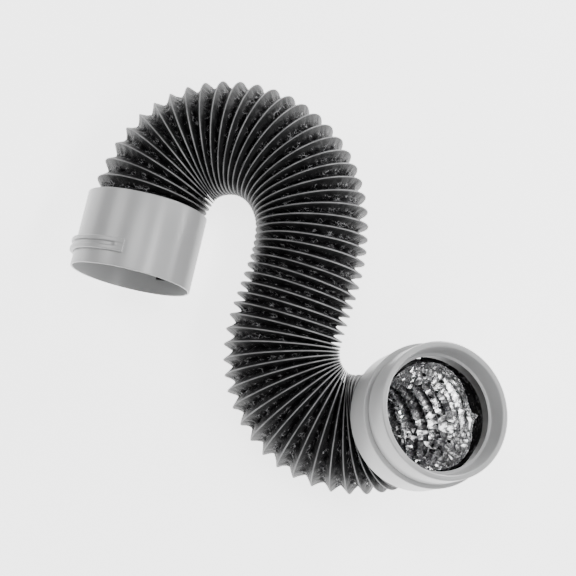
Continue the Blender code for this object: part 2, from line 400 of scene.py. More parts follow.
@dataclass(frozen=True)
class PlasticFinish:
    """Satin moulded plastic with a fine grain and faint clouding."""

    name: str = "satin_grey_plastic"
    light: Sequence[float] = (0.395, 0.397, 0.399)
    shade: Sequence[float] = (0.37, 0.372, 0.375)
    sheen: float = 0.8

    def build(self) -> bpy.types.Material:
        """Make the material.

        Returns:
            The finished material.
        """
        tree = ShaderTree(self.name)
        cloud = tree.noise(18.0, 3.0)
        grain = tree.noise(2600.0, 2.0)
        scuff = tree.noise(240.0, 5.0, 0.7).between(0.62, 0.8)
        colour = tree.blend(cloud.between(0.3, 0.7), self.shade, self.light)
        rough = 0.27 + 0.05 * cloud + 0.08 * scuff
        normal = tree.bump(grain, 0.10, 0.00015)
        return tree.surface(
            Base_Color=colour, Roughness=rough, Normal=normal, Specular_IOR_Level=self.sheen
        )


@dataclass(frozen=True)
class LugFinish:
    """Black of the small lug inside the sleeve, put where the mouth shows a small dark mark."""

    tone: Sequence[float] = (0.012, 0.012, 0.012)

    def build(self) -> bpy.types.Material:
        """Make the material."""
        return ShaderTree("black_lug").surface(Base_Color=self.tone, Roughness=0.5)


@dataclass(frozen=True)
class FloorFinish:
    """Pale matt floor with a glow of its own, so that shadows on it stay faint."""

    tone: Sequence[float] = (0.93, 0.93, 0.93)
    shade: Sequence[float] = (0.90, 0.90, 0.90)
    light: Sequence[float] = (1.0, 1.0, 1.0)
    glow: float = 2.9

    def build(self) -> bpy.types.Material:
        """Make the material.

        Returns:
            The finished material.
        """
        tree = ShaderTree("paper_floor")
        colour = tree.blend(tree.noise(3.0, 2.0), self.shade, self.tone)
        return tree.surface(
            Base_Color=colour, Roughness=0.7, Emission_Color=self.light, Emission_Strength=self.glow
        )


# Meshes


@dataclass
class Shell:
    """Points and faces that become one mesh."""

    points: list[np.ndarray] = field(default_factory=list)
    faces: list[tuple[int, ...]] = field(default_factory=list)
    slots: list[int] = field(default_factory=list)
    count: int = 0

    def add_points(self, rows: np.ndarray) -> int:
        """Add points.

        Args:
            rows: array of points, of any shape that ends in 3.

        Returns:
            Number of the first one.
        """
        rows = rows.reshape(-1, 3)
        first = self.count
        self.points.append(rows)
        self.count += len(rows)
        return first

    def add_faces(self, faces: Sequence[Sequence[int]], slot: int = 0) -> None:
        """Add faces with one material slot.

        Args:
            faces: rows of point numbers.
            slot: number of the material.
        """
        self.faces.extend(tuple(int(v) for v in face) for face in faces)
        self.slots.extend([slot] * len(faces))

    def bridge(self, first: np.ndarray, second: np.ndarray, slot: int = 0) -> None:
        """Join two closed rings of points with quads.

        Args:
            first: point numbers of one ring.
            second: point numbers of the other.
            slot: number of the material.
        """
        rows = np.stack([first, np.roll(first, -1), np.roll(second, -1), second], axis=1)
        self.add_faces(rows.tolist(), slot)

    def sweep(self, sections: Sequence[np.ndarray], slot: int = 0) -> None:
        """Join a row of closed sections, and close both its ends.

        Args:
            sections: points of each section.
            slot: number of the material.
        """
        rings = []
        for section in sections:
            first = self.add_points(section)
            rings.append(np.arange(first, first + len(section)))
        for first, second in zip(rings, rings[1:]):
            self.bridge(first, second, slot)
        self.add_faces([rings[0].tolist(), rings[-1].tolist()], slot)

    def build(
        self,
        name: str,
        materials: Sequence[bpy.types.Material],
        facing: Facing = Facing.SMOOTH,
        sharp: float = 40.0,
    ) -> bpy.types.Object:
        """Make the mesh object.

        Args:
            name: name of the piece.
            materials: its materials, by slot number.
            facing: how its faces are shaded.
            sharp: edges bent by more than this many degrees stay sharp.

        Returns:
            The object.
        """
        mesh = bpy.data.meshes.new(name)
        mesh.from_pydata(np.concatenate(self.points).tolist(), [], self.faces)
        for material in materials:
            mesh.materials.append(material)
        count = len(mesh.polygons)
        mesh.polygons.foreach_set("material_index", self.slots)
        mesh.polygons.foreach_set("use_smooth", [facing.value] * count)
        if facing is Facing.SMOOTH:
            mesh.set_sharp_from_angle(angle=math.radians(sharp))
        obj = bpy.data.objects.new(name, mesh)
        bpy.context.scene.collection.objects.link(obj)
        return obj


def store(obj: bpy.types.Object, name: str, values: np.ndarray) -> None:
    """Store one number per vertex.

    Args:
        obj: mesh object.
        name: name of the number.
        values: one value per vertex.
    """
    layer = obj.data.attributes.new(name, "FLOAT", "POINT")
    layer.data.foreach_set("value", np.ascontiguousarray(values, dtype=np.float32).ravel())


@dataclass(frozen=True)
class Crinkle:
    """Repeatable noise over a tube's skin, closed around its girth."""

    seed: int
    step: float
    girth_cells: int
    reach: float = 0.8

    def at(self, s: np.ndarray, turn: np.ndarray) -> np.ndarray:
        """Noise from -1 to 1.

        Args:
            s: length along the tube, in metres.
            turn: place around the girth, in turns.

        Returns:
            The noise at each place.
        """
        rows = int(self.reach / self.step) + 4
        lattice = np.random.RandomState(self.seed).uniform(-1.0, 1.0, (rows, self.girth_cells))
        down = np.clip((s + 0.1) / self.step, 0.0, rows - 2.001)
        across = np.mod(turn, 1.0) * self.girth_cells
        row, col = np.floor(down).astype(int), np.floor(across).astype(int)
        v, u = down - row, across - col
        v, u = v * v * (3.0 - 2.0 * v), u * u * (3.0 - 2.0 * u)
        a, b = col % self.girth_cells, (col + 1) % self.girth_cells
        near = lattice[row, a] * (1.0 - u) + lattice[row, b] * u
        far = lattice[row + 1, a] * (1.0 - u) + lattice[row + 1, b] * u
        return near * (1.0 - v) + far * v


def bell(turn: np.ndarray, middle: float, width: float) -> np.ndarray:
    """Smooth hump around a girth.

    Args:
        turn: place around the girth, in turns.
        middle: place of the top, in turns.
        width: half width, in turns.

    Returns:
        1 at the middle, falling to 0.
    """
    away = np.mod(turn - middle + 0.5, 1.0) - 0.5
    return np.exp(-((away / width) ** 2))


# The hose


@dataclass
class Route:
    """Centre line of the hose, with the crest plane and pleat count at each length.

    Each row is a stretch: length in hose radii, turn in plan, lift, pleats, and
    at its end the crest lean, crest tip (degrees) and crest radius in hose radii.
    The hose leaves its sleeve at a small angle, which the first lean gives.
    """

    rows: Sequence[Sequence[float]] = (
        (0.817, -17.3, -1.3, 3.78, -5.6, 7.1, 1.019),
        (0.917, -42.5, -0.1, 4.85, -6.0, 15.6, 1.014),
        (0.917, -36.6, 0.4, 5.05, -8.3, 13.1, 1.003),
        (0.917, -37.0, 0.7, 5.03, -2.6, 7.5, 1.003),
        (0.917, -30.2, 0.3, 5.49, -3.9, 0.3, 0.995),
        (0.917, -16.7, 0.3, 5.48, -2.6, -3.7, 1.002),
        (0.917, 0.5, 0.2, 5.34, 0.3, -6.5, 1.009),
        (0.917, 34.6, 0.2, 5.64, 1.7, -4.0, 1.016),
        (0.917, 39.4, 0.0, 5.19, 4.3, -1.0, 1.030),
        (0.493, 22.7, 1.1, 2.62, 5.0, 0.7, 1.032),
        (0.493, 20.1, 16.2, 2.85, 5.5, -0.6, 1.032),
        (0.499, 5.0, 26.3, 3.27, 3.6, -2.8, 1.003),
        (0.495, -5.6, 22.8, 3.41, 0.0, 0.0, 1.000),
    )
    start: Sequence[float] = (-0.15283, 0.04368, 0.0580)
    heading: float = 90.0
    lean: float = 5.6
    radius: float = 0.0545
    pleat: float = -1.01
    step: float = 0.001
    easing: float = 0.030
    flank: float = 0.0125
    widest: float = 0.8

    def __post_init__(self) -> None:
        """Work out the centre line."""
        lengths = self.column(0) * self.radius
        self.length = float(lengths.sum())
        self.s = np.linspace(0.0, self.length, int(round(self.length / self.step)) + 1)
        self.ends = np.concatenate([[0.0], np.cumsum(lengths)])
        row = np.searchsorted(self.ends, self.s, side="right") - 1
        row = np.clip(row, 0, len(self.rows) - 1)
        heading = math.radians(self.heading - self.lean)
        heading = heading + self.integral(self.ease((np.radians(self.column(1)) / lengths)[row]))
        rise = self.integral(self.ease((np.radians(self.column(2)) / lengths)[row]))
        self.pleats = self.pleat + self.integral(self.ease((self.column(3) / lengths)[row]))
        plane = heading + np.radians(self.eased(self.lean, 4))
        slope = rise + np.radians(self.eased(0.0, 5))
        self.crest = self.eased(1.0, 6) * self.radius
        tangent = self.direction(heading, rise)
        self.point = np.stack([self.integral(tangent[:, k]) for k in range(3)], axis=1)
        self.point += np.array(self.start)
        self.normal = self.direction(plane, slope)
        self.side = np.stack([-np.sin(plane), np.cos(plane), np.zeros(len(plane))], axis=1)
        self.over = np.cross(self.normal, self.side)

    def column(self, index: int) -> np.ndarray:
        """One column of the rows."""
        return np.array([row[index] for row in self.rows])

    def ease(self, values: np.ndarray) -> np.ndarray:
        """Smooth values along the hose, keeping its ends.

        Args:
            values: one value per step.

        Returns:
            The smoothed values.
        """
        width = int(round(self.easing / self.step)) | 1
        window = np.hanning(width + 2)[1:-1]
        padded = np.pad(values, width // 2, mode="reflect", reflect_type="odd")
        return np.convolve(padded, window / window.sum(), "valid")

    def eased(self, first: float, index: int) -> np.ndarray:
        """A column that is stated at the ends of the rows, smoothed."""
        knots = np.concatenate([[first], self.column(index)])
        return self.ease(np.interp(self.s, self.ends, knots))

    def integral(self, values: np.ndarray) -> np.ndarray:
        """Integrate values along the hose."""
        steps = (values[1:] + values[:-1]) * 0.5 * (self.s[1] - self.s[0])
        return np.concatenate([[0.0], np.cumsum(steps)])

    @staticmethod
    def direction(heading: np.ndarray, rise: np.ndarray) -> np.ndarray:
        """Unit vectors for headings and rises in radians."""
        flat = np.cos(rise)
        return np.stack([flat * np.cos(heading), flat * np.sin(heading), np.sin(rise)], axis=1)

    def read(self, values: np.ndarray, s: np.ndarray) -> np.ndarray:
        """Vectors at given lengths; an end value is kept beyond its end."""
        return np.stack([np.interp(s, self.s, values[:, k]) for k in range(3)], axis=-1)

    def centre(self, s: np.ndarray) -> np.ndarray:
        """Centre of the hose, going straight on past its ends."""
        over = np.maximum(s - self.length, 0.0) + np.minimum(s, 0.0)
        return self.read(self.point, s) + self.read(self.normal, s) * over[..., None]

    def place(self, s: np.ndarray, angle: np.ndarray, radius: np.ndarray) -> np.ndarray:
        """Points at a length, an angle around the hose and a radius.

        Args:
            s: length along the hose.
            angle: 0 at the left of the run, a quarter turn at its top.
            radius: distance from the centre line.

        Returns:
            The points.
        """
        s, angle, radius = np.broadcast_arrays(s, angle, radius)
        side, over = self.read(self.side, s), self.read(self.over, s)
        spoke = np.cos(angle)[..., None] * side + np.sin(angle)[..., None] * over
        return self.centre(s) + radius[..., None] * spoke

    def crest_radius(self, s: np.ndarray) -> np.ndarray:
        """Radius of the crests."""
        return np.interp(s, self.s, self.crest)

    def pitch(self, s: np.ndarray) -> np.ndarray:
        """Length of hose from crest to crest."""
        return 1.0 / np.interp(s, self.s, np.gradient(self.pleats, self.s))

    def pleat_at(self, s: np.ndarray) -> np.ndarray:
        """Pleat count at a length, counted on past both ends."""
        over = np.maximum(s - self.length, 0.0) + np.minimum(s, 0.0)
        return np.interp(s, self.s, self.pleats) + over / self.pitch(s)

    def length_at(self, pleat: np.ndarray) -> np.ndarray:
        """Length along the hose at a pleat count.

        Args:
            pleat: pleat count, which may lie past either end.

        Returns:
            The length.
        """
        before = np.minimum(pleat - self.pleats[0], 0.0) * float(self.pitch(np.array(0.0)))
        after = np.maximum(pleat - self.pleats[-1], 0.0) * float(self.pitch(np.array(self.length)))
        return np.interp(pleat, self.pleats, self.s) + before + after

    def spacing(self, s: np.ndarray, angle: np.ndarray) -> np.ndarray:
        """Distance between neighbouring crests, measured on the skin.

        Args:
            s: length along the hose.
            angle: place around the hose, in radians.

        Returns:
            The distance.
        """
        radius, half = self.crest_radius(s), self.pitch(s) / 2.0
        gap = self.place(s + half, angle, radius) - self.place(s - half, angle, radius)
        return np.linalg.norm(gap, axis=-1)

    def depth(self, s: np.ndarray, angle: np.ndarray) -> np.ndarray:
        """Depth of the pleats: the film's flank is as long everywhere."""
        apart = np.minimum(self.spacing(s, angle) / 2.0, self.flank * self.widest)
        return np.sqrt(self.flank**2 - apart**2)


@dataclass
class FilmJacket:
    """Pleated black film with a wire bonded in at every crest."""

    route: Route
    columns: int = 160
    bead: float = 0.00062
    bead_rise: float = 0.00035
    bead_share: float = 0.20
    sag: float = 1.4
    spare: float = 0.05
    socket_depth: float = 0.0276
    collar_reach: float = 0.0406
    collar_start: float = 0.004
    collar_ease: float = 0.014
    collar_share: float = 0.42
    ladder: Sequence[float] = (0.34, 0.68)
    pleat_rows: int = 8
    bead_rows: Sequence[int] = (3, 4)
    broad_lift: float = 0.0010
    small_lift: float = 0.0012
    mean_lift: float = 0.0004
    most_lift: float = 0.2
    sway: float = 0.0011
    sway_room: float = 0.008

    def profile(self, share: np.ndarray) -> np.ndarray:
        """Fall of the film from bead to valley, steepest near the bead."""
        return 1.0 - (1.0 - share) ** self.sag

    def ends(self) -> tuple[float, float]:
        """Lengths at which the film ends, in the sleeve and in the collar."""
        return -self.socket_depth, self.route.length + self.collar_reach

    def depth(self, s: np.ndarray, angle: np.ndarray) -> np.ndarray:
        """Pleat depth, shallower where the collar holds the film open.

        Args:
            s: length along the hose.
            angle: place around the hose, in radians.

        Returns:
            The depth.
        """
        past = s - self.route.length - self.collar_start
        held = np.clip(past / self.collar_ease, 0.0, 1.0)
        return self.route.depth(s, angle) * (1.0 - (1.0 - self.collar_share) * held)

    def offsets(self, share: np.ndarray) -> tuple[np.ndarray, np.ndarray]:
        """Places of one pleat's rows.

        Args:
            share: half width of the bead as a share of the pitch.

        Returns:
            Offsets from the crest in pleats, and the fall from bead to valley.
        """
        first, second = self.ladder
        flat = np.zeros_like(share)
        span = 0.5 - share
        away = [flat + 0.5, share + span * second, share + span * first, share, flat]
        fall = [1.0, second, first, 0.0, -1.0, 0.0, first, second]
        rows = [-away[0], -away[1], -away[2], -away[3], flat, away[3], away[2], away[1]]
        return np.stack(rows, axis=-1), np.array(fall)

    def layout(self, angle: np.ndarray) -> tuple[np.ndarray, np.ndarray]:
        """Rows of the helical grid, by column.

        Args:
            angle: place of each column around the hose, in radians.

        Returns:
            Pleat count of each point, and its fall from bead to valley.
        """
        route, cols = self.route, self.columns
        low, high = (float(route.pleat_at(np.array(place))) for place in self.ends())
        first = math.ceil(low + self.spare - 0.25) + 0.25
        turns = int(high - self.spare - first - 1.0)
        crest = first + 0.5 + np.arange(cols)[:, None] / cols + np.arange(turns)[None, :]
        apart = route.spacing(route.length_at(crest), angle[:, None])
        offset, fall = self.offsets(np.minimum(self.bead / apart, self.bead_share))
        pleat = (crest[..., None] + offset).reshape(cols, -1)
        drop = np.broadcast_to(fall, offset.shape).reshape(cols, -1)
        pleat = np.concatenate([pleat, crest[:, -1:] + 0.5], axis=1)
        return pleat, np.concatenate([drop, np.ones((cols, 1))], axis=1)

    def build(self, film: bpy.types.Material, line: bpy.types.Material) -> bpy.types.Object:
        """Make the jacket.

        Args:
            film: material of the pleats.
            line: material of the crest lines.

        Returns:
            The jacket.
        """
        route, cols = self.route, self.columns
        start, end = self.ends()
        angle = TAU * np.arange(cols) / cols
        pleat, drop = self.layout(angle)
        s = route.length_at(pleat)
        fold = np.maximum(drop, 0.0)
        depth = self.depth(s, angle[:, None])
        crown = route.crest_radius(s)
        radius = crown - self.bead_rise - (depth - self.bead_rise) * self.profile(fold)
        radius = np.where(drop < 0.0, crown, radius)
        s, radius = self.crumple(s, angle[:, None] / TAU, radius, fold, depth)
        s = np.clip(s, start, end)
        points = route.place(s, angle[:, None], radius)
        rims = []
        for place in (start, end):
            at = np.full(cols, place)
            rims.append(route.place(at, angle, route.crest_radius(at) - self.depth(at, angle)))
        shell = Shell()
        shell.add_points(np.concatenate([rims[0][:, None], points, rims[1][:, None]], axis=1))
        self.weave(shell, pleat.shape[1] - 1)
        obj = shell.build("film_jacket", [film, line], sharp=75.0)
        edge = np.ones((cols, 1))
        along = np.concatenate([edge * start, s, edge * end], axis=1)
        spoke = route.radius * np.exp(1j * angle[:, None]) * np.ones(along.shape)
        store(obj, "fold", np.concatenate([edge, fold, edge], axis=1))
        store(obj, "along", along)
        store(obj, "side", spoke.real)
        store(obj, "over", spoke.imag)
        return obj

    def crumple(
        self,
        s: np.ndarray,
        turn: np.ndarray,
        radius: np.ndarray,
        fold: np.ndarray,
        depth: np.ndarray,
    ) -> tuple[np.ndarray, np.ndarray]:
        """Crumple the film, more towards the valleys.

        Args:
            s: length of each point.
            turn: its place around the girth.
            radius: its radius.
            fold: 0 on the bead and 1 in the valley.
            depth: pleat depth there.

        Returns:
            New lengths and radii.
        """
        turn = np.broadcast_to(turn, s.shape)
        broad = Crinkle(seed=11, step=0.0047, girth_cells=42).at(s, turn)
        small = Crinkle(seed=12, step=0.0026, girth_cells=84).at(s, turn)
        sway = Crinkle(seed=13, step=0.0040, girth_cells=70).at(s, turn)
        weight = fold**0.9
        lift = (self.broad_lift * broad + self.small_lift * small + self.mean_lift) * weight
        room = np.clip(self.route.spacing(s, turn * TAU) / self.sway_room, 0.1, 1.0)
        shift = self.sway * sway * weight * room
        return s + shift, radius + np.minimum(lift, depth * self.most_lift)

    def weave(self, shell: Shell, last: int) -> None:
        """Add the faces of the helical grid, closed at its seam and ends.

        Args:
            shell: mesh that holds the grid's points.
            last: number of the last helical row.
        """
        cols, per = self.columns, self.pleat_rows
        height = last + 3
        number = np.arange(cols * height).reshape(cols, height)

        def slot(row: int) -> int:
            """Material of the faces that start at a grid row."""
            return 1 if 0 < row <= last and (row - 1) % per in self.bead_rows else 0

        for row in range(height - 1):
            a, b = number[:-1, row], number[1:, row]
            c, d = number[1:, row + 1], number[:-1, row + 1]
            shell.add_faces(np.stack([a, b, c, d], axis=1).tolist(), slot(row))
        left, right = number[cols - 1], number[0]
        shell.add_faces([(left[1], left[0], right[0])])
        for row in range(per + 1):
            shell.add_faces([(left[1], right[row], right[row + 1])], slot(row))
        for row in range(1, last - per + 1):
            quad = (left[row], right[row + per], right[row + per + 1], left[row + 1])
            shell.add_faces([quad], slot(row))
        hub = right[last + 1]
        for row in range(last - per + 1, last + 1):
            shell.add_faces([(hub, left[row], left[row + 1])], slot(row))
        shell.add_faces([(hub, left[last + 1], left[last + 2])])
        shell.add_faces([(hub, left[last + 2], right[last + 2])])


@dataclass(frozen=True)
class Tear:
    """Stretch of the foil's edge, drawn back and inwards about one place."""

    turn: float
    width: float
    back: float
    inward: float


@dataclass
class FoilLiner:
    """Crumpled foil duct inside the jacket, torn at its visible mouth."""

    route: Route
    jacket: FilmJacket
    columns: int = 112
    clearance: float = 0.0015
    ripple: float = 0.88
    fine_step: float = 0.0020
    plain_step: float = 0.0060
    mouth_run: float = 0.125
    socket_run: float = 0.060
    blend_start: float = 0.004
    blend_run: float = 0.008
    crumple: float = 0.00060
    broad_share: float = 0.9
    jitter: float = 0.36
    rim_radius: float = 0.0486
    rim_run: float = 0.011
    edge_back: float = 0.0012
    edge_run: float = 0.045
    ragged: float = 0.0011
    spike: float = 0.0090
    tears: Sequence[Tear] = (
        Tear(turn=0.75, width=0.13, back=0.0115, inward=0.0042),
        Tear(turn=0.34, width=0.09, back=0.0050, inward=0.0030),
    )
    tuft: Tear = Tear(turn=0.735, width=0.020, back=0.0, inward=-0.0035)
    seed: int = 31

    def rows(self) -> np.ndarray:
        """Lengths of the rings, closer together where a mouth shows them.

        Returns:
            The lengths, from the sleeve's end to the collar's.
        """
        start, end = self.jacket.ends()
        first, second = start + self.socket_run, end - self.mouth_run
        parts = []
        for a, b, step in (
            (start, first, self.fine_step),
            (first, second, self.plain_step),
            (second, end, self.fine_step),
        ):
            parts.append(np.linspace(a, b, int(round((b - a) / step)), endpoint=False))
        return np.concatenate(parts + [np.array([end])])

    def swell(self, s: np.ndarray, angle: np.ndarray) -> np.ndarray:
        """How far the foil swells out under the film's crests.

        Args:
            s: length along the hose.
            angle: place around the hose, in radians.

        Returns:
            1 under a crest and 0 under a valley.
        """
        pleat = self.route.pleat_at(s) - angle / TAU + 0.25
        away = np.abs(pleat - np.round(pleat)) * 2.0
        return 0.5 + 0.5 * np.cos(math.pi * away)

    def radius(self, s: np.ndarray, angle: np.ndarray) -> np.ndarray:
        """Radius of the foil, which follows the film's pleats near its mouth.

        Args:
            s: length along the hose.
            angle: place around the hose, in radians.

        Returns:
            The radius, before the foil is crumpled.
        """
        swell = self.swell(s, angle)
        crest = self.route.crest_radius(s)
        ribbed = crest - self.jacket.depth(s, angle) * (1.0 - self.ripple * swell) - self.clearance
        plain = crest - self.route.flank - self.clearance * 1.5
        first = self.jacket.ends()[1] - self.mouth_run
        share = np.clip((s - first - self.blend_start) / self.blend_run, 0.0, 1.0)
        return plain + (ribbed - plain) * share

    def shake(
        self, draw: np.random.RandomState, rows: np.ndarray
    ) -> tuple[np.ndarray, np.ndarray, np.ndarray]:
        """Points of the grid, shaken out of their rows and columns.

        Args:
            draw: source of the random shifts.
            rows: length of each ring.

        Returns:
            Length and turn of each point, and 1 where the rings are close together.
        """
        count, cols = len(rows), self.columns
        s = np.repeat(rows[:, None], cols, axis=1)
        turn = np.repeat((np.arange(cols) / cols)[None, :], count, axis=0)
        fine = s > rows[-1] - self.mouth_run + self.blend_start
        fine = fine | (s < rows[0] + self.socket_run - self.blend_start)
        loose = fine.astype(float)
        loose[0] = loose[-1] = 0.0
        s = s + draw.uniform(-1, 1, s.shape) * self.jitter * self.fine_step * loose
        turn = turn + draw.uniform(-1, 1, s.shape) * self.jitter / cols
        return s, turn, loose

    def tear(
        self, draw: np.random.RandomState, s: np.ndarray, turn: np.ndarray, end: float
    ) -> tuple[np.ndarray, np.ndarray, np.ndarray]:
        """Draw the edge at the mouth back and in, and fray it.

        Args:
            draw: source of the random fraying.
            s: length of each point.
            turn: its place around the girth, in turns.
            end: length at which the foil ends.

        Returns:
            New lengths, how near each point is to the edge, and the edge's radius.
        """
        recess, rim = np.full(s.shape, self.edge_back), np.full(s.shape, self.rim_radius)
        for tear in (*self.tears, self.tuft):
            hump = bell(turn, tear.turn, tear.width)
            recess = recess + tear.back * hump
            rim = rim - tear.inward * hump
        near = np.clip((s - (end - self.edge_run)) / self.edge_run, 0.0, 1.0)
        ragged = draw.uniform(-1.0, 1.0, self.columns) * self.ragged
        odd = np.arange(self.columns) % 2
        spikes = draw.uniform(0.25, 1.0, self.columns) * odd * self.spike
        s = s - near * recess
        s[-1] += ragged + spikes * bell(turn[-1], self.tuft.turn, self.tuft.width)
        at_rim = np.clip((s - (end - recess - self.rim_run)) / self.rim_run, 0.0, 1.0)
        return s, at_rim, rim

    def weave(self, shell: Shell, draw: np.random.RandomState, count: int) -> None:
        """Add the facets, with each quad split along a random diagonal.

        Args:
            shell: mesh that holds the grid's points.
            draw: source of the random splits.
            count: number of rings.
        """
        number = np.arange(count * self.columns).reshape(count, self.columns)
        flip = draw.uniform(0.0, 1.0, (count - 1, self.columns)) < 0.5
        for row in range(count - 1):
            a, b = number[row], np.roll(number[row], -1)
            d, c = number[row + 1], np.roll(number[row + 1], -1)
            way = flip[row][:, None]
            one = np.where(way, np.stack([a, b, c], 1), np.stack([a, b, d], 1))
            two = np.where(way, np.stack([a, c, d], 1), np.stack([b, c, d], 1))
            shell.add_faces(one.tolist())
            shell.add_faces(two.tolist())

    def build(self, foil: bpy.types.Material) -> bpy.types.Object:
        """Make the liner.

        Args:
            foil: its material.

        Returns:
            The liner.
        """
        draw = np.random.RandomState(self.seed)
        rows = self.rows()
        s, turn, loose = self.shake(draw, rows)
        s, at_rim, rim = self.tear(draw, s, turn, rows[-1])
        angle = turn * TAU
        radius = self.radius(s, angle)
        radius = radius + (rim - radius) * at_rim
        rumple = draw.uniform(-1.0, 1.0, s.shape) * self.crumple
        broad = Crinkle(seed=32, step=0.0062, girth_cells=40).at(s, turn)
        broad = broad * self.crumple * self.broad_share
        ridge = 1.0 - self.swell(s, angle)
        radius = radius + (rumple + broad) * (0.25 + 0.75 * loose) * (0.35 + 0.65 * ridge)
        shell = Shell()
        shell.add_points(self.route.place(s, angle, radius))
        self.weave(shell, draw, len(rows))
        obj = shell.build("foil_duct", [foil], Facing.CREASED)
        # The ridge numbers keep the foil's colour bright on the ridges and at the rim; elsewhere
        # painted shade darkens the grooves.
        store(obj, "ridge", np.maximum(ridge, at_rim))
        return obj


# The couplings


@dataclass(frozen=True)
class Corner:
    """Corner of a turned section: radius, offset along the axis, rounding."""

    radius: float
    offset: float
    round: float = 0.0003


def rounded(corners: Sequence[Corner], steps: int = 4) -> list[tuple[float, float]]:
    """Round the corners of a closed section.

    Args:
        corners: the section's corners in order.
        steps: points on each rounding.

    Returns:
        Points of the rounded section.
    """
    outline = []
    count = len(corners)
    for k, corner in enumerate(corners):
        here = np.array([corner.radius, corner.offset])
        before = corners[k - 1]
        after = corners[(k + 1) % count]
        back = np.array([before.radius, before.offset]) - here
        ahead = np.array([after.radius, after.offset]) - here
        reach = min(corner.round, np.linalg.norm(back) * 0.45, np.linalg.norm(ahead) * 0.45)
        first = here + back / np.linalg.norm(back) * reach
        last = here + ahead / np.linalg.norm(ahead) * reach
        for t in np.linspace(0.0, 1.0, steps + 1):
            point = first * (1 - t) ** 2 + here * 2 * t * (1 - t) + last * t**2
            outline.append((float(point[0]), float(point[1])))
    return outline


@dataclass
class Turned:
    """A body turned about the hose's axis at one place."""

    route: Route
    at: float
    outward: float
    segments: int = 176

    def __post_init__(self) -> None:
        """Take the axes at the place."""
        place = np.array(self.at)
        self.centre = self.route.centre(place)
        self.axis = self.route.read(self.route.normal, place) * self.outward
        self.side = self.route.read(self.route.side, place)
        self.over = self.route.read(self.route.over, place)

    def point(self, radius: float, offset: float, angle: np.ndarray) -> np.ndarray:
        """Points on a circle about the axis."""
        spoke = np.cos(angle)[:, None] * self.side + np.sin(angle)[:, None] * self.over
        return self.centre + self.axis * offset + spoke * radius

    def turn(self, shell: Shell, outline: Sequence[tuple[float, float]]) -> None:
        """Add the turned body of a closed section.

        Args:
            shell: mesh to add to.
            outline: the section as radius and offset.
        """
        angle = np.arange(self.segments) * TAU / self.segments
        rings = []
        for radius, offset in outline:
            first = shell.add_points(self.point(radius, offset, angle))
            rings.append(np.arange(first, first + self.segments))
        for first, second in zip(rings, rings[1:] + rings[:1]):
            shell.bridge(first, second)


